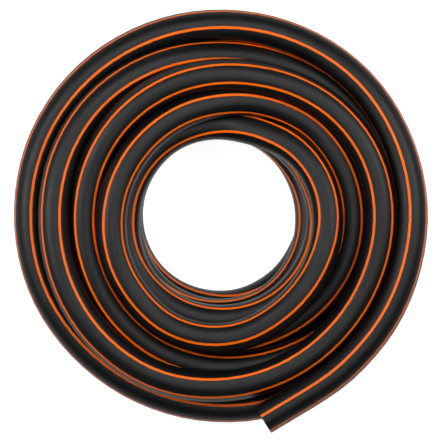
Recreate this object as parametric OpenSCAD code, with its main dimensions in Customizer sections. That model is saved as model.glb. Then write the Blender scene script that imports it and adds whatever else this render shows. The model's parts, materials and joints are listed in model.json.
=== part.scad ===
// Reinforced water hose, wound into a round coil that lies flat.
// All sizes are in millimetres and all angles in degrees, counted anticlockwise from +X.
// The coil lies on the plane z = 0. The cut free end comes off the top layer.

/* [Hose wall] */
// Bore that the water runs through
bore_d = 19; // [16:0.5:20]
// Wall of the smooth inner tube
inner_tube_wall = 1.2; // [0.8:0.1:1.6]
// Thickness of the knitted yarn layer
yarn_wall = 0.6; // [0.4:0.1:1]
// Wall of the outer cover
cover_wall = 1.2; // [1:0.1:1.6]

/* [Stripes] */
// Width of each coloured stripe
stripe_w = 2.1; // [1:0.1:6]
// Depth of each stripe in the cover
stripe_depth = 0.5; // [0.2:0.1:0.8]
// Turn of the first stripe from the top of the hose towards the outside of the coil
stripe_turn = -14; // [-30:1:30]

/* [Coil] */
// Radius of the outermost loops, to the middle of the hose
outer_loop_r = 154.6; // [150:0.1:170]
// Radius of the innermost loops, to the middle of the hose
inner_loop_r = 74.6; // [70:0.1:90]
// Space between neighbouring loops and between layers
loop_gap = 1; // [1:0.1:2]
// Number of layers
layers = 4; // [2:2:4]
// Loops in the lowest layer, which ends under the others
lowest_loops = 2.4; // [1.5:0.05:3]

/* [Free end] */
// Distance of the cut end from the middle of the coil
free_end_r = 167.3; // [166:0.1:180]
// Direction of the cut end from the middle of the coil
free_end_angle = 281.75; // [0:0.25:359.75]
// Length of the free end that shows its separate layers
end_length = 30; // [20:1:40]

/* [Hidden] */
$fn = 48;

stripe_count = 5;
rings_per_loop = 24;
sides = 6;
// A lowest loop is squashed flat by a tenth of the hose's diameter where it rests
rest_share = 0.1;
// Cutters reach this far past what they cut
past = 1;
// The wound length starts this far past the free end's layers, clear of their bore
face_gap = 0.001;

bore_r = bore_d / 2;
inner_tube_r = bore_r + inner_tube_wall;
yarn_r = inner_tube_r + yarn_wall;
hose_r = yarn_r + cover_wall;
hose_od = 2 * hose_r;
stripe_arc = stripe_w / hose_r * 180 / PI;
loop_pitch = hose_od + loop_gap;

// The free end runs straight and level, square to its cut face, and touches the first
// loop one hose diameter past the stretch that shows the layers.
straight = end_length + hose_od;
first_r = sqrt(free_end_r ^ 2 - straight ^ 2);
first_angle = free_end_angle + atan(straight / first_r);
lowest_z = hose_r - rest_share * hose_od;
top_z = lowest_z + (layers - 1) * loop_pitch;

// Winding, by the angle turned since the first loop began. Odd layers, counted from 0 at
// the top, spiral out, and even ones spiral in. Between two layers the hose climbs down
// in the half turn where its spiral reverses.
climb = 180;
function layer_turn(k) =
    k == layers - 1 ? 360 * lowest_loops :
    360 * ((k == 0 ? first_r : outer_loop_r) - inner_loop_r) / loop_pitch;
function layer_start(k) = k == 0 ? 0 : layer_start(k - 1) + layer_turn(k - 1) + climb;
function layer_r(k) = k % 2 == 1 ? inner_loop_r : k == 0 ? first_r : outer_loop_r;
starts = [for (k = [0:layers - 1]) layer_start(k)];
whole_turn = starts[layers - 1] + layer_turn(layers - 1);

function layer_at(turn) = max([for (k = [0:layers - 1]) if (starts[k] <= turn || k == 0) k]);
function way(k) = k % 2 == 1 ? 1 : -1;
// Part of the climb that is done, from 0 in the layer to 1 at the next layer
function climbed(turn, k) = max(0, (turn - starts[k] - layer_turn(k)) / climb);
function loop_r(turn, k, done) =
    layer_r(k) + way(k) * loop_pitch / 360 *
    (min(turn - starts[k], layer_turn(k)) + climb * (done - done ^ 2));
function place(turn) =
    let (k = layer_at(turn), done = climbed(turn, k), r = loop_r(turn, k, done),
        angle = first_angle + turn)
    [r * cos(angle), r * sin(angle), top_z - loop_pitch * (k + done)];

// Rings along the winding, each [middle, heading], at the same angles in every loop. The
// straight ends, square to their faces, are one hose diameter long.
function heading(turn) = first_angle + turn + 90;
function along(angle) = [cos(angle), sin(angle), 0];
function ring(turn, past_end = 0) =
    [place(turn) + past_end * along(heading(turn)), heading(turn)];
ring_step = 360 / rings_per_loop;
rings = concat(
    [ring(0, face_gap - hose_od)],
    [for (turn = [0:ring_step:whole_turn - 1]) ring(turn)],
    [ring(whole_turn), ring(whole_turn, hose_od)]);

// Corners of a ring's hexagon, with a flat side down, and no lower than the plane z = 0
function corner(at, i) =
    let (turn = 360 * i / sides,
        p = at[0] + hose_r * cos(turn) * along(at[1] - 90) + [0, 0, hose_r * sin(turn)])
    [p.x, p.y, max(p.z, 0)];
tube_points = [for (at = rings, i = [0:sides - 1]) corner(at, i)];
tube_faces = concat(
    [for (i = [1:sides - 2]) [0, i, i + 1]],
    [for (k = [0:len(rings) - 2], i = [0:sides - 1], half = [0, 1])
        let (a = k * sides + i, b = k * sides + (i + 1) % sides)
        half == 0 ? [a, a + sides, b + sides] : [a, b + sides, b]],
    [for (i = [1:sides - 2]) let (z = (len(rings) - 1) * sides) [z, z + i + 1, z + i]]);

// The cut face of the free end, and the middle of the whole object seen from above
cut_face = ring(0, -straight)[0];
cut_edges = [for (side = [-1, 1]) cut_face + side * hose_r * along(heading(0) - 90)];
outline = concat(tube_points, cut_edges);
function mid(values) = (min(values) + max(values)) / 2;
coil_axis = -[mid([for (p = outline) p.x]), mid([for (p = outline) p.y])];

// Least gap between two stretches of the hose that are over a quarter loop apart
function off_line(p, a, b) =
    let (share = max(0, min(1, (p - a) * (b - a) / ((b - a) * (b - a)))))
    norm(p - a - share * (b - a));
function least_gap() =
    min([for (i = [0:len(rings) - 1], j = [0:len(rings) - 2])
        if (abs(i - j) > rings_per_loop / 4) off_line(rings[i][0], rings[j][0], rings[j + 1][0])])
    - hose_od;
function hose_length() =
    end_length + sum_of([for (i = [1:len(rings) - 1]) norm(rings[i][0] - rings[i - 1][0])]);
function sum_of(values) = values * [for (v = values) 1];

module in_place() translate([coil_axis.x, coil_axis.y, 0]) children();

// Puts a shape that runs along +Z from the cut face into the hose, with its +X at the top
module at_free_end()
    in_place() translate(cut_face) rotate([0, 90, heading(0)]) rotate([0, 0, 180]) children();

module layer(outer_r, inner_r)
    difference() {
        cylinder(r = outer_r, h = end_length);
        translate([0, 0, -past]) cylinder(r = inner_r, h = end_length + 2 * past);
    }

module stripe_bar(n, start, length, outer_r)
    rotate([0, 0, stripe_turn + 360 * (n - 1) / stripe_count - stripe_arc / 2])
        translate([0, 0, start])
            rotate_extrude(angle = stripe_arc)
                translate([hose_r - stripe_depth, 0])
                    square([outer_r - hose_r + stripe_depth, length]);

// The hose's wound length, from the free end to the far end under the coil
module wound_hose() {
    echo(least_gap_mm = least_gap(), hose_length_mm = hose_length(),
        loops = whole_turn / 360, coil_axis_mm = coil_axis);
    color("#26282a") in_place() polyhedron(points = tube_points, faces = tube_faces);
}

// Black cover, grooved for its stripes
module outer_cover()
    color("#2b2d2f") at_free_end() difference() {
        layer(hose_r, yarn_r);
        for (n = [1:stripe_count]) stripe_bar(n, -past, end_length + 2 * past, hose_r + past);
    }

// Knitted polyester yarn, which takes the water's pressure
module yarn_reinforcement()
    color("#d8d6cc") at_free_end() layer(yarn_r, inner_tube_r);

// Smooth tube that the water runs through
module inner_tube()
    color("#1c1d1f") at_free_end() layer(inner_tube_r, bore_r);

// One orange stripe, pressed into the cover's surface as both are made
module stripe(n)
    color("#f06a00") at_free_end() stripe_bar(n, 0, end_length, hose_r);

wound_hose();
outer_cover();
yarn_reinforcement();
inner_tube();
stripe(1);  // stripe_1
stripe(2);  // stripe_2
stripe(3);  // stripe_3
stripe(4);  // stripe_4
stripe(5);  // stripe_5
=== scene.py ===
"""Coiled garden hose: its layers and stripes laid along one settled route, and a plain stage."""
import functools
import json
import math

import bmesh
import bpy
import numpy as np
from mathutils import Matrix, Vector


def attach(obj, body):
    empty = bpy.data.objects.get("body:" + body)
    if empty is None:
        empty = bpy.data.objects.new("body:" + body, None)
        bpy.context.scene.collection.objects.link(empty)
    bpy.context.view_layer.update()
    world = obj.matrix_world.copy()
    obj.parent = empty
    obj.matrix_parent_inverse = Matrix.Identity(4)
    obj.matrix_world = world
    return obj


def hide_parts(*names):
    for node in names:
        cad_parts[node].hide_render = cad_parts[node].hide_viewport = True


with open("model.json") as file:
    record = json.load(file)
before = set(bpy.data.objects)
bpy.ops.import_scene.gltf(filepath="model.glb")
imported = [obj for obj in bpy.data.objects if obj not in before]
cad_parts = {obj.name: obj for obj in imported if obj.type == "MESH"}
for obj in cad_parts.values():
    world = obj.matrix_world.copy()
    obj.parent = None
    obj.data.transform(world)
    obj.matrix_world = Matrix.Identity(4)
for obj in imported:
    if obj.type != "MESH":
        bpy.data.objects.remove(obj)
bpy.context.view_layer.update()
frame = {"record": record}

bl_info = {
    "name": "Coiled garden hose",
    "version": (1, 0, 0),
    "blender": (4, 5, 0),
    "location": "View3D > Sidebar > Hose",
    "description": "Builds a striped, reinforced garden hose that lies in a round coil",
    "category": "Add Mesh",
}

MM = 0.001
BORE = frame["record"]["mounts"][0]
BORE_RADIUS = BORE["dims"]["r_mm"] * MM
# The cut face of the free end, and the way the hose runs from it
CUT_FACE = np.array(BORE["pos_m"])
RUN_IN = -np.array(BORE["axis"])

# ---------------------------------------------------------------------------------------
# The route of the hose's middle line
# ---------------------------------------------------------------------------------------

# The axis that the hose is wound round, in millimetres from the object's middle
WINDING_AXIS = np.array([-3.35, 5.5])
# The free end lies straight for this long before it bends into the coil, in millimetres
STRAIGHT = 40
# Points on that straight stretch
STRAIGHT_POINTS = 5
# Where the bent part of the free end meets its first loop, in degrees
FIRST_ANGLE = 307.5

# The loops that lie open to view from above, which keep close to their place
SEEN = "seen"
# The loops that lie under others, which settle where there is room for them
BURIED = "buried"
# The route, as (turn, kind, points), with each point as (direction in degrees, distance
# from the winding axis in mm, height in mm, and in degrees how far the middle between the
# two upper stripes is turned from the hose's top towards the outside of the coil)
WAYPOINTS = [
    (0, SEEN, [(300, 158.5, 88, 17), (315, 156, 88, 16), (330, 155, 88, 18),
               (345, 154, 88, 20)]),
    (1, SEEN, [(0, 154, 88, 24), (22, 154, 85, 27), (45, 154.5, 81, 28), (67, 153.5, 77, 26),
               (90, 153, 73, 22), (112, 153.5, 68, 19), (135, 154.5, 65, 20),
               (157, 155, 64, 23), (180, 154.5, 64, 26), (202, 154.5, 64, 30),
               (225, 153.5, 64, 30), (250, 154, 64, 28), (270, 155.2, 63, 27),
               (285, 156, 63, 26)]),
    (1, BURIED, [(300, 153.5, 63, 18), (330, 147.5, 64, 8)]),
    (2, BURIED, [(0, 143, 65, 0), (22, 139, 65, -7)]),
    (2, SEEN, [(45, 135.5, 66, 3), (60, 132.5, 66, 8), (75, 130, 67, 20), (90, 129, 69, 25),
               (105, 130.5, 72, 16), (120, 132, 76, 13), (135, 133, 79, 12),
               (157, 133, 82, 10), (180, 132.8, 84, 10), (202, 134.6, 85, 11),
               (225, 137, 86, 12), (250, 139, 86, 9), (270, 137.5, 86, 4),
               (292, 135, 86, 4), (315, 132.5, 86, 4), (337, 130.5, 87, 4)]),
    (3, SEEN, [(0, 129.5, 88, 8), (22, 127.5, 88, 7), (45, 122, 88, 6), (60, 117, 88, 5),
               (75, 112.5, 88, 2), (90, 110.5, 88, -2), (112, 109.8, 89, -6),
               (135, 109.3, 89, -6), (157, 109, 88, -5), (180, 109, 86, -1),
               (202, 111, 82, -3), (225, 115.5, 76, -6), (250, 119.5, 69, -7),
               (270, 121, 65, -9), (292, 121, 59, -9)]),
    (3, BURIED, [(315, 120, 52, -9), (337, 119, 49, -9)]),
    (4, BURIED, [(0, 120, 44, -9), (45, 124, 38, -9), (90, 127, 38, -8), (135, 129, 38, -8),
                 (180, 134, 36, -8), (225, 141, 38, -8), (270, 148.5, 38, -8),
                 (315, 152, 38, -8)]),
    (5, BURIED, [(0, 152, 38, -7), (45, 152, 38, -7), (90, 152, 38, -7), (120, 149, 40, -7),
                 (145, 142, 48, -7), (180, 131, 58, -7), (225, 127, 54, -7),
                 (270, 123, 40, -6), (315, 115.5, 38, -6)]),
    (6, BURIED, [(0, 106.5, 38, -6), (45, 101, 38, -6), (90, 99.5, 42, -6),
                 (135, 99.5, 52, -6), (180, 101.5, 60, -5), (225, 103, 61, -5),
                 (270, 103, 63, -5)]),
    (6, SEEN, [(292, 104, 65, -3), (315, 105.5, 68, -3), (337, 107, 71, -5)]),
    (7, SEEN, [(0, 107, 73, -3), (22, 105.5, 75, -7), (45, 102.5, 78, -17),
               (60, 98.5, 81, -21), (75, 95, 84, -22), (90, 91, 87, -15), (105, 88.3, 88, -9),
               (120, 86.5, 88, -9), (135, 85.7, 88, -10), (157, 85.7, 88, -9),
               (180, 87.5, 88, -9), (202, 90.5, 88, -10), (225, 94, 88, -10),
               (245, 98, 88, -11), (262, 99, 88, -14), (280, 97.5, 89, -16),
               (300, 93, 90, -15), (315, 90.5, 90, -14), (337, 88, 90, -8)]),
    (8, SEEN, [(0, 86.5, 90, 5), (22, 84.8, 89, 5), (45, 81.3, 86, 7), (60, 77.8, 81, 16),
               (75, 76, 75, 15), (90, 75.7, 70, 4), (112, 75.5, 66, -7),
               (135, 75.5, 64, -5), (157, 75.5, 64, 1), (180, 77, 64, 3), (202, 80, 64, -3),
               (225, 83, 64, -12), (250, 85, 64, -17), (270, 85.5, 64, -15),
               (300, 86, 64, -8), (330, 85, 65, -4)]),
    (9, SEEN, [(0, 83.5, 65, -14), (22, 81.2, 62, -20), (45, 78.7, 57, -12),
               (67, 77, 51, -11), (90, 76, 45, -12), (112, 76, 41, -14),
               (135, 76, 39, -12), (157, 76, 39, -8), (180, 76.5, 39, -3),
               (202, 78, 39, -1), (225, 80, 39, -4), (250, 81, 39, -16),
               (270, 81, 39, -21), (300, 80.2, 39, -19), (330, 76.8, 40, -15)]),
    (10, SEEN, [(0, 74.3, 40, -9), (22, 74, 36, -14), (45, 75, 31, -34), (67, 76, 25, -40),
                (90, 77, 19, -36), (112, 77, 15, -30), (135, 76.5, 13, -24),
                (180, 76.5, 12.5, -18), (225, 76, 12.5, -19), (262, 75, 12.5, -12),
                (285, 75, 12.5, 0), (300, 74.5, 12.5, 8), (315, 74.5, 12.5, 13),
                (340, 74.3, 12.5, 15)]),
    (11, BURIED, [(0, 76, 12.5, 15), (22, 84.5, 12.5, 10), (45, 92, 12.5, 0),
                  (67, 96.5, 12.5, -10), (90, 100, 12.5, -10), (180, 107, 12.5, -10),
                  (270, 113.5, 12.5, -10)]),
    (12, BURIED, [(0, 119.5, 12.5, -10), (90, 126, 12.5, -10), (180, 132, 12.5, -10),
                  (270, 139, 12.5, -10)]),
    (13, BURIED, [(0, 145.5, 12.5, -10), (90, 152, 12.5, -10), (180, 153.5, 12.5, -10),
                  (256, 153.5, 12.5, -10)]),
]

# The settling works on points at the same directions in every loop
POINTS_PER_LOOP = 48
STEP = 360 / POINTS_PER_LOOP
# Least distance between the middle lines of two loops that touch, in millimetres
TOUCHING = 25.1
# Rounds of straightening, each with so many steps that part the loops that overlap
ROUNDS = 1500
CONTACTS_PER_ROUND = 6
# Share of each overlap that one such step clears
CONTACT_SHARE = 0.6
# How far one round moves a point towards the mean of its neighbours
STIFFNESS = 0.25
# The free end keeps its place up to this angle, in degrees
HELD_UNTIL = 322
# How (buried, seen) loops settle: the share of a push that moves them sideways, how
# easily they give way, how strongly they are drawn back to their first height in a
# round, and the share of their sideways move that they keep
SIDE_SHARE = (1.0, 0.08)
GIVE = (1.0, 0.3)
PULL = (0.004, 0.012)
KEEP = (1.0, 0.98)
# Limits of the middle line's height, and of a buried loop's distance from the winding
# axis, in millimetres
HEIGHT_RANGE = (12.5, 95)
BURIED_RANGE = (75, 154.6)
# Added to the last angle of a range, so that the range takes it in
PAST_LAST = 0.01
# Rings of the finished tubes
RINGS_PER_LOOP = 80
# A stiff hose can't twist suddenly, so the stripes' turn is evened out along it
TWIST_ROUNDS = 8
# How far in from each cut the cover's sharp corner is rubbed off
CUT_CORNER = 0.35 * MM


def smooth_through(at, values, wanted):
    """Values at the wanted places, on a smooth curve through the given ones."""
    slope = np.gradient(values, at)
    i = np.clip(np.searchsorted(at, wanted) - 1, 0, len(at) - 2)
    gap = at[i + 1] - at[i]
    t = (wanted - at[i]) / gap
    return (
        (2 * t**3 - 3 * t**2 + 1) * values[i]
        + (t**3 - 2 * t**2 + t) * gap * slope[i]
        + (3 * t**2 - 2 * t**3) * values[i + 1]
        + (t**3 - t**2) * gap * slope[i + 1]
    )


def loop_pairs(count, first):
    """Every two points that lie at the same direction in different loops."""
    pairs = []
    for direction in range(POINTS_PER_LOOP):
        column = [i for i in range(count) if (i + first) % POINTS_PER_LOOP == direction]
        pairs += [(a, b) for k, a in enumerate(column) for b in column[k + 1:]]
    return np.array(pairs)


def smoothed(values):
    """Values moved towards the mean of their neighbours, as a bent hose straightens."""
    out = values.copy()
    out[1:-1] += STIFFNESS * (values[:-2] + values[2:] - 2 * values[1:-1])
    return out


def waypoint_columns():
    """The waypoints' angles, distances, heights, turns of the stripes, and 1 where buried."""
    rows = [
        (360 * turn + direction, reach, height, twist, kind == BURIED)
        for turn, kind, points in WAYPOINTS
        for direction, reach, height, twist in points
    ]
    return np.array(rows, float).T


@functools.lru_cache(maxsize=1)
def settled_loops():
    """The loops once they rest on each other: angle, distance from the axis and height."""
    chosen, reach, height, _, buried = waypoint_columns()
    angle = np.arange(chosen[0], chosen[-1] + PAST_LAST, STEP)
    reach = smooth_through(chosen, reach, angle)
    height = np.maximum(smooth_through(chosen, height, angle), HEIGHT_RANGE[0])
    buried = np.interp(angle, chosen, buried) > 0.5
    moves = angle > HELD_UNTIL
    side_share = np.where(buried, *SIDE_SHARE) * moves
    give = np.where(buried, *GIVE)
    pull = np.where(buried, *PULL)
    keep = np.where(buried, *KEEP)
    a, b = loop_pairs(len(angle), round(chosen[0] / STEP)).T
    give_a = 2 * give[a] / (give[a] + give[b])
    give_b = 2 - give_a
    r, z = reach.copy(), height.copy()
    for _ in range(ROUNDS):
        z = smoothed(z + pull * (height - z))
        r = reach + keep * smoothed(r - reach)
        for _ in range(CONTACTS_PER_ROUND):
            dr, dz = r[a] - r[b], z[a] - z[b]
            # The least bit keeps two points in one place from dividing by zero
            apart = np.hypot(dr, dz) + 1e-9
            # Each of the two takes half of the push, weighed by how easily it gives way
            push = np.maximum(TOUCHING - apart, 0) / apart * 0.5 * CONTACT_SHARE
            moved = [
                np.bincount(np.r_[a, b], np.r_[push * d * give_a, -push * d * give_b], len(r))
                for d in (dr, dz)
            ]
            r = r + moved[0] * side_share
            z = np.clip(z + moved[1] * moves, *HEIGHT_RANGE)
            r = np.where(buried, np.clip(r, *BURIED_RANGE), r)
    return angle, r, z


def stripe_turn(angle):
    """Turn of the middle between the two upper stripes from the hose's top, in degrees."""
    chosen, _, _, twist, _ = waypoint_columns()
    return np.interp(angle, chosen, twist)


@functools.lru_cache(maxsize=1)
def route():
    """The hose's rings, as arrays: middle, up, out, metres along it and turn of its stripes."""
    angle, r, z = settled_loops()
    bent = angle >= FIRST_ANGLE
    turn = np.radians(angle[bent])
    loops = np.stack([
        WINDING_AXIS[0] + r[bent] * np.cos(turn),
        WINDING_AXIS[1] + r[bent] * np.sin(turn),
        z[bent],
    ], axis=1) * MM
    straight = CUT_FACE + np.outer(np.linspace(0, STRAIGHT, STRAIGHT_POINTS) * MM, RUN_IN)
    knots = np.concatenate([straight, loops])
    # Straight points get the angles that they are seen at from the winding axis
    line = np.degrees(np.arctan2(straight[:, 1] / MM - WINDING_AXIS[1],
                                 straight[:, 0] / MM - WINDING_AXIS[0])) + 360
    knot_angle = np.concatenate([line, angle[bent]])
    even = np.arange(knot_angle[0], knot_angle[-1] + PAST_LAST, 360 / RINGS_PER_LOOP)
    # One more ring just inside each cut, where the rubbed corner ends
    corner = np.degrees(CUT_CORNER / np.linalg.norm(knots[[0, -1], :2], axis=1))
    first, last = even[:1], even[-1:]
    fine = np.concatenate([first, first + corner[0], even[1:-1], last - corner[1], last])
    middle = np.stack([smooth_through(knot_angle, knots[:, i], fine) for i in range(3)], axis=1)
    run = np.concatenate([[0], np.cumsum(np.linalg.norm(np.diff(middle, axis=0), axis=1))])
    heading = np.gradient(middle, run, axis=0)
    # The free end leaves its cut face squarely
    heading[:2] = RUN_IN
    heading /= np.linalg.norm(heading, axis=1)[:, None]
    out = np.cross(heading, (0, 0, 1))
    out /= np.linalg.norm(out, axis=1)[:, None]
    up = np.cross(out, heading)
    twist = stripe_turn(even)
    for _ in range(TWIST_ROUNDS):
        twist = smoothed(twist)
    return middle, up, out, run, np.radians(np.interp(fine, even, twist))


# ---------------------------------------------------------------------------------------
# Tubes laid along the route
# ---------------------------------------------------------------------------------------

# Name of the map with metres along the hose and the share of the way round it
LENGTHWISE = "lengthwise"
# Corners of a round section
ROUND_POINTS = 30
# Points of the cover's arc between two grooves, and the angle in radians from a groove to
# the nearest one, which keeps the shading round up to the groove's edge
ARC_POINTS = 6
BESIDE_GROOVE = 0.04
# Edges with a sharper bend than this stay sharp
SHARP = math.radians(35)


def swept_points(section, cut_corner):
    """A closed section of (angle, radius) points at each ring of the route, ends drawn in."""
    middle, up, out, _, twist = route()
    turn = twist[:, None, None] + section[None, :, :1]
    reach = np.repeat(section[None, :, 1:], len(middle), axis=0)
    for end in (0, -1):
        reach[end] -= cut_corner
    spokes = np.cos(turn) * up[:, None, :] + np.sin(turn) * out[:, None, :]
    return (middle[:, None, :] + reach * spokes).reshape(-1, 3)


def swept_faces(count, first, inwards):
    """Quads between neighbouring rings of count points each, numbered from first."""
    rings = len(route()[0])
    ring = np.arange(rings - 1)[:, None] * count + first
    here = np.arange(count)[None, :]
    after = (here + 1) % count
    quads = np.stack([ring + here, ring + after, ring + count + after, ring + count + here], 2)
    return quads.reshape(-1, 4)[:, ::-1] if inwards else quads.reshape(-1, 4)


def close_cuts(mesh, loops):
    """Fills the hose's two cut faces between the given loops of point numbers."""
    bm = bmesh.new()
    bm.from_mesh(mesh)
    bm.verts.ensure_lookup_table()
    for rims in loops:
        edges = [
            bm.edges.get((bm.verts[a], bm.verts[b]))
            for rim in rims
            for a, b in zip(rim, rim[1:] + rim[:1])
        ]
        bmesh.ops.triangle_fill(bm, use_beauty=True, use_dissolve=False, edges=edges)
    bmesh.ops.recalc_face_normals(bm, faces=bm.faces)
    bm.to_mesh(mesh)
    bm.free()


def lay_tube(name, outer, inner=None, cut_corner=0.0):
    """Makes a piece that runs along the whole route, with a bore where inner is given."""
    sections = [outer] if inner is None else [outer, inner]
    rings = len(route()[0])
    points, faces, rims = [], [], [[], []]
    first = 0
    for k, section in enumerate(sections):
        count = len(section)
        points.append(swept_points(section, 0.0 if k else cut_corner))
        faces += swept_faces(count, first, inwards=k == 1).tolist()
        last = first + (rings - 1) * count
        rims[0].append(list(range(first, first + count)))
        rims[1].append(list(range(last, last + count)))
        first += rings * count
    mesh = bpy.data.meshes.new(name)
    mesh.from_pydata(np.concatenate(points).tolist(), [], faces)
    close_cuts(mesh, rims)
    map_lengthwise(mesh, [len(s) for s in sections], rings)
    piece = bpy.data.objects.new(name, mesh)
    bpy.context.collection.objects.link(piece)
    bpy.ops.object.select_all(action="DESELECT")
    piece.select_set(True)
    bpy.context.view_layer.objects.active = piece
    bpy.ops.object.shade_smooth_by_angle(angle=SHARP)
    return piece


def map_lengthwise(mesh, counts, rings):
    """Gives each face corner the metres along the hose and the share of the way round it."""
    run = route()[3]
    along = np.concatenate([np.repeat(run, count) for count in counts])
    share = np.concatenate([np.tile(np.arange(count) / count, rings) for count in counts])
    corner = np.empty(len(mesh.loops), np.int32)
    mesh.loops.foreach_get("vertex_index", corner)
    start = np.empty(len(mesh.polygons), np.int32)
    total = np.empty(len(mesh.polygons), np.int32)
    mesh.polygons.foreach_get("loop_start", start)
    mesh.polygons.foreach_get("loop_total", total)
    across = share[corner]
    # The last face of each ring runs on to 1, and not back to 0
    most = np.maximum.reduceat(across, start)
    across = np.where(np.repeat(most, total) - across > 0.5, across + 1, across)
    uv = np.stack([along[corner], across], axis=1).astype(np.float32)
    mesh.uv_layers.new(name=LENGTHWISE).data.foreach_set("uv", uv.ravel())


def round_section(radius):
    """A round section, as points of (angle, radius)."""
    angle = np.arange(ROUND_POINTS) * 2 * math.pi / ROUND_POINTS
    return np.stack([angle, np.full(ROUND_POINTS, radius)], axis=1)


def stripe_half_angle(sizes):
    """Half the angle that one stripe takes up round the hose."""
    return sizes.stripe_width / sizes.hose_diameter


def stripe_middle(sizes, number):
    """Angle of one stripe's middle, from midway between the two upper stripes."""
    return 2 * math.pi * (number - 0.5) / sizes.stripe_count


def stripe_section(sizes, number):
    """The section of one stripe: an arc level with the cover, and a flat bottom."""
    half = stripe_half_angle(sizes)
    middle = stripe_middle(sizes, number)
    radius = sizes.hose_diameter / 2
    arc = [(middle + half * share, radius) for share in (-1, -0.5, 0, 0.5, 1)]
    bottom = [(middle + side * half, radius - sizes.stripe_depth) for side in (1, -1)]
    return np.array(arc + bottom)


def cover_section(sizes):
    """The cover's outside: round, with one groove for each stripe."""
    half = stripe_half_angle(sizes)
    radius = sizes.hose_diameter / 2
    bottom = radius - sizes.stripe_depth
    pitch = 2 * math.pi / sizes.stripe_count
    points = []
    for number in range(sizes.stripe_count):
        middle = stripe_middle(sizes, number)
        left, right = middle - half, middle + half
        points += [(left, radius), (left, bottom), (right, bottom), (right, radius)]
        arc = np.linspace(right + BESIDE_GROOVE, left + pitch - BESIDE_GROOVE, ARC_POINTS)
        points += [(angle, radius) for angle in arc]
    return np.array(points)


# ---------------------------------------------------------------------------------------
# Materials
# ---------------------------------------------------------------------------------------

# Typical for flexible PVC
PVC_IOR = 1.53
# Where handling has polished the cover and its stripes, and where it hasn't
EXTRUDED_ROUGHNESS = (0.42, 0.5)
# The cover's ribs that wind round side by side, and their height. They are drawn a little
# coarser than they are, so that they show.
RIBS = 8
RIB_HEIGHT = 0.02 * MM
# The yarns that wind each way, their spacing and height, and how strongly they show on
# the cover beside its ribs
YARNS = 16
YARN_PITCH = 5 * MM
YARN_HEIGHT = 0.2 * MM
YARN_SHOWN = 0.4
# Faint lines that the extruder's die draws along the bore, and their height
DIE_LINES = 40
DIE_LINE_HEIGHT = 0.02 * MM
# Sizes of the soft uneven marks that handling leaves, and of those in the bore and the yarn
HANDLING_MARKS = 25 * MM
BORE_MARKS = 10 * MM
YARN_MARKS = 3 * MM
# Most of a noise texture's values lie between these
NOISE_LOW, NOISE_HIGH = 0.3, 0.7


def srgb(text):
    """A hex colour as the linear values that Blender works in."""
    parts = [int(text[i:i + 2], 16) / 255 for i in (1, 3, 5)]
    linear = [p / 12.92 if p <= 0.04045 else ((p + 0.055) / 1.055) ** 2.4 for p in parts]
    return (*linear, 1.0)


def add_node(tree, kind, settings=None, links=None):
    """Adds a node, sets its inputs or own settings by name, and links its inputs."""
    made = tree.nodes.new(kind)
    for key, value in (settings or {}).items():
        if isinstance(key, int) or key in made.inputs:
            made.inputs[key].default_value = value
        else:
            setattr(made, key, value)
    for key, socket in (links or {}).items():
        tree.links.new(socket, made.inputs[key])
    return made


def new_tree(name):
    """An empty node material and its tree."""
    material = bpy.data.materials.new(name)
    material.use_nodes = True
    material.node_tree.nodes.clear()
    return material, material.node_tree


def finish_surface(tree, settings, links):
    """Joins a Principled shader to the material's output."""
    shader = add_node(tree, "ShaderNodeBsdfPrincipled", settings, links)
    add_node(tree, "ShaderNodeOutputMaterial", links={"Surface": shader.outputs[0]})


def hose_places(tree):
    """Sockets with the metres along the hose and the share of the way round it."""
    place = add_node(tree, "ShaderNodeUVMap", {"uv_map": LENGTHWISE})
    split = add_node(tree, "ShaderNodeSeparateXYZ", links={0: place.outputs[0]})
    return split.outputs[0], split.outputs[1]


def wave(tree, place, pitch):
    """A sine over a socket, one wave to each pitch."""
    turns = add_node(tree, "ShaderNodeMath", {"operation": "MULTIPLY", 1: 2 * math.pi / pitch},
                     {0: place})
    sine = add_node(tree, "ShaderNodeMath", {"operation": "SINE"}, {0: turns.outputs[0]})
    return sine.outputs[0]


def wound_ribs(tree, pitch, starts):
    """So many ribs that wind round the hose side by side, or the other way where below 0."""
    along, share = hose_places(tree)
    place = add_node(tree, "ShaderNodeMath", {"operation": "MULTIPLY_ADD", 1: starts * pitch},
                     {0: share, 2: along})
    return wave(tree, place.outputs[0], pitch)


def knit(tree):
    """The diamonds of yarns that cross as they wind round the hose both ways."""
    ways = [wound_ribs(tree, YARN_PITCH, starts) for starts in (YARNS, -YARNS)]
    crossed = add_node(tree, "ShaderNodeMath", {"operation": "MULTIPLY"}, dict(enumerate(ways)))
    return crossed.outputs[0]


def cover_relief(tree, rib_pitch):
    """Fine slanted ribs, with the diamonds of the yarn below showing faintly among them."""
    height = add_node(tree, "ShaderNodeMath", {"operation": "MULTIPLY_ADD", 1: YARN_SHOWN},
                      {0: knit(tree), 2: wound_ribs(tree, rib_pitch, RIBS)})
    return relief(tree, height.outputs[0], RIB_HEIGHT)


def marks(tree, size):
    """Soft uneven marks of about that size in metres, from 0 to 1."""
    place = add_node(tree, "ShaderNodeTexCoord")
    cloud = add_node(tree, "ShaderNodeTexNoise", {"Scale": 1 / size, "Detail": 4.0},
                     {"Vector": place.outputs["Object"]})
    return cloud.outputs["Fac"]


def between(tree, socket, low, high):
    """A noise socket spread over the given range."""
    spread = add_node(tree, "ShaderNodeMapRange", {
        "From Min": NOISE_LOW,
        "From Max": NOISE_HIGH,
        "To Min": low,
        "To Max": high,
    }, {"Value": socket})
    return spread.outputs["Result"]


def relief(tree, height, depth):
    """A bump of so many metres from a height from -1 to 1."""
    bump = add_node(tree, "ShaderNodeBump", {"Strength": 1.0, "Distance": depth},
                    {"Height": height})
    return bump.outputs["Normal"]


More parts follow.
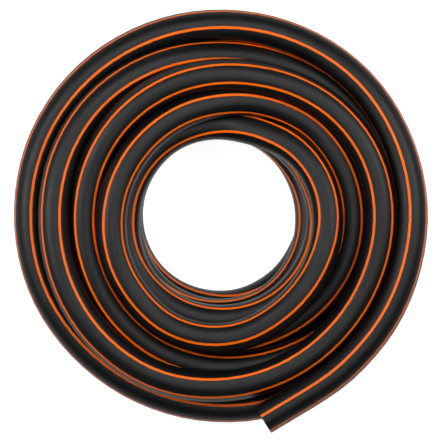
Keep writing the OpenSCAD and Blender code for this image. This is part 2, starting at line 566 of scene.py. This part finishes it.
def shaded_colour(tree, colour, socket, low, high):
    """A colour made darker and lighter between two shares of itself."""
    tone = add_node(tree, "ShaderNodeHueSaturation", {"Color": colour},
                    {"Value": between(tree, socket, low, high)})
    return tone.outputs["Color"]


def cover_material(colour, sizes):
    """Flexible black PVC, extruded over the yarn: a soft wide gloss over fine cross ribs."""
    material, tree = new_tree("extruded_black_pvc")
    handling = marks(tree, HANDLING_MARKS)
    finish_surface(tree, {"IOR": PVC_IOR, "Specular IOR Level": 0.32}, {
        "Base Color": shaded_colour(tree, colour, handling, 0.85, 1.15),
        "Roughness": between(tree, handling, *EXTRUDED_ROUGHNESS),
        "Normal": cover_relief(tree, sizes.rib_pitch),
    })
    return material


def stripe_material(colour, sizes):
    """Pigmented flexible PVC, extruded into the cover: the same gloss and ribs, in orange."""
    material, tree = new_tree("coextruded_orange_pvc")
    handling = marks(tree, HANDLING_MARKS)
    finish_surface(tree, {"IOR": PVC_IOR, "Specular IOR Level": 0.2}, {
        "Base Color": shaded_colour(tree, colour, handling, 0.93, 1.05),
        "Roughness": between(tree, handling, *EXTRUDED_ROUGHNESS),
        "Normal": relief(tree, wound_ribs(tree, sizes.rib_pitch, RIBS), RIB_HEIGHT),
    })
    return material


def yarn_material(colour):
    """Polyester yarn, knitted round the inner tube: pale, matt, with a slight sheen."""
    material, tree = new_tree("knitted_polyester_yarn")
    finish_surface(tree, {"Roughness": 0.8, "Sheen Weight": 0.3}, {
        "Base Color": shaded_colour(tree, colour, marks(tree, YARN_MARKS), 0.85, 1.1),
        "Normal": relief(tree, knit(tree), YARN_HEIGHT),
    })
    return material


def tube_material(colour):
    """Flexible PVC, extruded smooth for the water: black and glossier than the cover."""
    material, tree = new_tree("extruded_smooth_pvc")
    _, share = hose_places(tree)
    finish_surface(tree, {"IOR": PVC_IOR, "Specular IOR Level": 0.35}, {
        "Base Color": shaded_colour(tree, colour, marks(tree, HANDLING_MARKS), 0.9, 1.1),
        "Roughness": between(tree, marks(tree, BORE_MARKS), 0.25, 0.35),
        "Normal": relief(tree, wave(tree, share, 1 / DIE_LINES), DIE_LINE_HEIGHT),
    })
    return material


def floor_material(colour, glow):
    """Matt white studio paper: its glow keeps it white in view and leaves a faint shadow."""
    material, tree = new_tree("matt_white_paper")
    shown = seen_directly(tree)
    strength = add_node(tree, "ShaderNodeMath", {"operation": "MULTIPLY", 1: glow}, {0: shown})
    finish_surface(tree, {"Base Color": colour, "Roughness": 1.0, "Specular IOR Level": 0.0,
                          "Emission Color": (1, 1, 1, 1)},
                   {"Emission Strength": strength.outputs[0]})
    return material


def seen_directly(tree):
    """1 for what the camera sees, directly or in a reflection or through glass, else 0."""
    path = add_node(tree, "ShaderNodeLightPath")
    mirrored = add_node(tree, "ShaderNodeMath", {"operation": "MAXIMUM"}, {
        0: path.outputs["Is Glossy Ray"],
        1: path.outputs["Is Transmission Ray"],
    })
    shown = add_node(tree, "ShaderNodeMath", {"operation": "MAXIMUM"},
                     {0: path.outputs["Is Camera Ray"], 1: mirrored.outputs[0]})
    return shown.outputs[0]


# ---------------------------------------------------------------------------------------
# Settings
# ---------------------------------------------------------------------------------------

class HoseSizes(bpy.types.PropertyGroup):
    """Sizes of the hose's wall, stripes and ribs."""

    hose_diameter: bpy.props.FloatProperty(
        name="Hose diameter", description="Outside diameter of the cover",
        default=25 * MM, min=0.01, unit="LENGTH")
    cover_wall: bpy.props.FloatProperty(
        name="Cover wall", description="Thickness of the outer cover",
        default=1.2 * MM, min=0.0002, unit="LENGTH")
    yarn_wall: bpy.props.FloatProperty(
        name="Yarn wall", description="Thickness of the knitted yarn",
        default=0.6 * MM, min=0.0001, unit="LENGTH")
    stripe_count: bpy.props.IntProperty(
        name="Stripes", description="Number of stripes round the hose", default=5, min=2, max=8)
    stripe_width: bpy.props.FloatProperty(
        name="Stripe width", description="Width of each stripe, measured round the hose",
        default=2.1 * MM, min=0.0005, unit="LENGTH")
    stripe_depth: bpy.props.FloatProperty(
        name="Stripe depth", description="Depth of each stripe in the cover",
        default=0.5 * MM, min=0.0001, unit="LENGTH")
    rib_pitch: bpy.props.FloatProperty(
        name="Rib pitch", description="Distance between the fine ribs across the hose",
        default=1.6 * MM, min=0.0002, unit="LENGTH")


class HoseColours(bpy.types.PropertyGroup):
    """Colours of the hose's layers."""

    cover: bpy.props.FloatVectorProperty(
        name="Cover", description="Colour of the outer cover",
        default=srgb("#060708"), size=4, min=0, max=1, subtype="COLOR")
    stripe: bpy.props.FloatVectorProperty(
        name="Stripe", description="Colour of the stripes",
        default=srgb("#FF6E00"), size=4, min=0, max=1, subtype="COLOR")
    yarn: bpy.props.FloatVectorProperty(
        name="Yarn", description="Colour of the knitted yarn",
        default=srgb("#D8D6CC"), size=4, min=0, max=1, subtype="COLOR")
    inner_tube: bpy.props.FloatVectorProperty(
        name="Inner tube", description="Colour of the tube that the water runs through",
        default=srgb("#1C1D1F"), size=4, min=0, max=1, subtype="COLOR")


class StageSettings(bpy.types.PropertyGroup):
    """Camera, lamps, sky and floor."""

    camera_height: bpy.props.FloatProperty(
        name="Camera height", description="Height of the camera over the floor",
        default=2.028, min=0.5, unit="LENGTH")
    camera_lens: bpy.props.FloatProperty(
        name="Lens", description="Focal length, which sets how much the picture takes in",
        default=197.6, min=20, unit="CAMERA")
    lamp_power: bpy.props.FloatProperty(
        name="Lamp power", description="Power of all the soft lamps together",
        default=8.1, min=0, unit="POWER")
    lamp_side: bpy.props.FloatProperty(
        name="Lamp side", description="Side of each square soft lamp",
        default=0.36, min=0.1, unit="LENGTH")
    sky_light: bpy.props.FloatProperty(
        name="Sky light", description="Strength of the even light from all round",
        default=0.02, min=0, max=2, subtype="FACTOR")
    walls_seen: bpy.props.FloatProperty(
        name="Walls in view", description="Brightness of the pale walls where they are seen",
        default=0.8, min=0, max=1, subtype="FACTOR")
    ceiling_seen: bpy.props.FloatProperty(
        name="Ceiling in view", description="Brightness of the dim ceiling where it is seen",
        default=0.04, min=0, max=1, subtype="FACTOR")
    floor_side: bpy.props.FloatProperty(
        name="Floor side", description="Side of the square floor",
        default=8.0, min=1, unit="LENGTH")
    floor_colour: bpy.props.FloatVectorProperty(
        name="Floor colour", description="Colour of the paper floor under its glow",
        default=srgb("#B4B4B4"), size=4, min=0, max=1, subtype="COLOR")
    floor_glow: bpy.props.FloatProperty(
        name="Floor glow", description="Glow that keeps the floor white in view",
        default=0.9, min=0, max=1, subtype="FACTOR")


# Where the camera hangs over the floor, in metres from the object's middle, and the width
# of its sensor in millimetres
CAMERA_PLACE = (-0.0029, 0.0012)
SENSOR_WIDTH = 36
# Each soft lamp's place in metres, and its share of the light
LAMPS = (
    ((-0.52, 0.08, 0.6), 0.32),
    ((0.48, 0.2, 0.6), 0.28),
    ((-0.05, 0.32, 0.8), 0.22),
    ((0.12, -0.15, 0.95), 0.18),
)
# How far up the walls fade into the ceiling, from 0 at the horizon to 1 overhead
WALLS_END = 0.15


def join_part(piece, material, slot, *nodes):
    """Dresses a finished piece and sets it in the frame in place of its CAD nodes."""
    piece.data.materials.append(material)
    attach(piece, "root")
    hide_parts(*nodes)


# ---------------------------------------------------------------------------------------
# Operators
# ---------------------------------------------------------------------------------------

class HOSE_OT_stage(bpy.types.Operator):
    """Adds the camera straight overhead, the soft lamps, the sky and the white floor"""

    bl_idname = "hose.stage"
    bl_label = "Add stage"

    def execute(self, context):
        settings = context.scene.hose_stage
        bpy.ops.object.select_all(action="DESELECT")
        bpy.ops.object.camera_add(location=(*CAMERA_PLACE, settings.camera_height),
                                  rotation=(0, 0, 0))
        camera = context.object
        camera.data.lens = settings.camera_lens
        camera.data.sensor_width = SENSOR_WIDTH
        context.scene.camera = camera
        for place, share in LAMPS:
            bpy.ops.object.light_add(type="AREA", location=place)
            lamp = context.object
            # An area lamp shines along its own -Z, here at the object's middle
            lamp.rotation_euler = (-Vector(place)).to_track_quat("-Z", "Y").to_euler()
            lamp.data.energy = settings.lamp_power * share
            lamp.data.size = settings.lamp_side
            lamp.visible_camera = False
        bpy.ops.mesh.primitive_plane_add(size=settings.floor_side)
        floor = context.object
        floor.name = "studio_floor"
        floor.data.materials.append(floor_material(settings.floor_colour, settings.floor_glow))
        self.light_sky(context.scene, settings)
        context.scene.view_settings.view_transform = "Standard"
        return {"FINISHED"}

    def light_sky(self, scene, settings):
        """Makes the walls pale and the ceiling dim where seen, and their light on the hose low."""
        scene.world = bpy.data.worlds.new("studio_sky")
        scene.world.use_nodes = True
        tree = scene.world.node_tree
        tree.nodes.clear()
        place = add_node(tree, "ShaderNodeTexCoord")
        way = add_node(tree, "ShaderNodeSeparateXYZ", links={0: place.outputs["Generated"]})
        seen = add_node(tree, "ShaderNodeMapRange", {
            "From Max": WALLS_END,
            "To Min": settings.walls_seen,
            "To Max": settings.ceiling_seen,
        }, {"Value": way.outputs["Z"]})
        level = add_node(tree, "ShaderNodeMapRange", {"To Min": settings.sky_light},
                         {"Value": seen_directly(tree), "To Max": seen.outputs["Result"]})
        sky = add_node(tree, "ShaderNodeBackground", {"Color": (1, 1, 1, 1)},
                       {"Strength": level.outputs["Result"]})
        add_node(tree, "ShaderNodeOutputWorld", links={"Surface": sky.outputs[0]})


class HOSE_OT_inner_tube(bpy.types.Operator):
    """Lays the smooth tube that the water runs through"""

    bl_idname = "hose.inner_tube"
    bl_label = "Lay inner tube"

    def execute(self, context):
        sizes = context.scene.hose_sizes
        outside = sizes.hose_diameter / 2 - sizes.cover_wall - sizes.yarn_wall
        tube = lay_tube("hose_inner_tube", round_section(outside), round_section(BORE_RADIUS))
        join_part(tube, tube_material(context.scene.hose_colours.inner_tube), "inner_tube",
                  "inner_tube")
        return {"FINISHED"}


class HOSE_OT_yarn(bpy.types.Operator):
    """Lays the knitted yarn that takes the water's pressure"""

    bl_idname = "hose.yarn"
    bl_label = "Lay yarn"

    def execute(self, context):
        sizes = context.scene.hose_sizes
        outside = sizes.hose_diameter / 2 - sizes.cover_wall
        yarn = lay_tube("hose_yarn", round_section(outside),
                        round_section(outside - sizes.yarn_wall))
        join_part(yarn, yarn_material(context.scene.hose_colours.yarn), "yarn",
                  "yarn_reinforcement")
        return {"FINISHED"}


class HOSE_OT_stripes(bpy.types.Operator):
    """Lays the stripes into the cover's grooves"""

    bl_idname = "hose.stripes"
    bl_label = "Lay stripes"

    def execute(self, context):
        sizes = context.scene.hose_sizes
        material = stripe_material(context.scene.hose_colours.stripe, sizes)
        for number in range(sizes.stripe_count):
            stripe = lay_tube(f"hose_stripe_{number + 1}", stripe_section(sizes, number),
                              cut_corner=CUT_CORNER)
            join_part(stripe, material, "stripe", f"stripe_{number + 1}")
        return {"FINISHED"}


class HOSE_OT_cover(bpy.types.Operator):
    bl_idname = "hose.cover"
    bl_label = "Lay cover"

    def execute(self, context):
        sizes = context.scene.hose_sizes
        inside = sizes.hose_diameter / 2 - sizes.cover_wall
        cover = lay_tube("hose_cover", cover_section(sizes), round_section(inside), CUT_CORNER)
        join_part(cover, cover_material(context.scene.hose_colours.cover, sizes), "cover",
                  "wound_hose", "outer_cover")
        route()[0].tolist()
        return {"FINISHED"}


class HOSE_PT_panel(bpy.types.Panel):
    """Lists the steps that build the hose, and their settings"""

    bl_idname = "HOSE_PT_panel"
    bl_label = "Coiled garden hose"
    bl_space_type = "VIEW_3D"
    bl_region_type = "UI"
    bl_category = "Hose"

    def draw(self, context):
        for step in STEPS:
            self.layout.operator(step.bl_idname)
        for group in GROUPS:
            settings = getattr(context.scene, group)
            box = self.layout.box()
            for name in settings.__annotations__:
                box.prop(settings, name)


# In the order that they run
STEPS = (HOSE_OT_stage, HOSE_OT_inner_tube, HOSE_OT_yarn, HOSE_OT_stripes, HOSE_OT_cover)
GROUPS = {"hose_sizes": HoseSizes, "hose_colours": HoseColours, "hose_stage": StageSettings}


def register():
    """Adds the classes to Blender, and the settings to the scene."""
    for kind in (*GROUPS.values(), *STEPS, HOSE_PT_panel):
        bpy.utils.register_class(kind)
    for name, kind in GROUPS.items():
        setattr(bpy.types.Scene, name, bpy.props.PointerProperty(type=kind))


def unregister():
    """Takes out what register adds."""
    for name in GROUPS:
        delattr(bpy.types.Scene, name)
    for kind in (HOSE_PT_panel, *STEPS[::-1], *GROUPS.values()):
        bpy.utils.unregister_class(kind)


def main():
    """Builds the stage and the hose."""
    register()
    bpy.ops.hose.stage()
    bpy.ops.hose.inner_tube()
    bpy.ops.hose.yarn()
    bpy.ops.hose.stripes()
    bpy.ops.hose.cover()


if __name__ == "__main__":
    main()
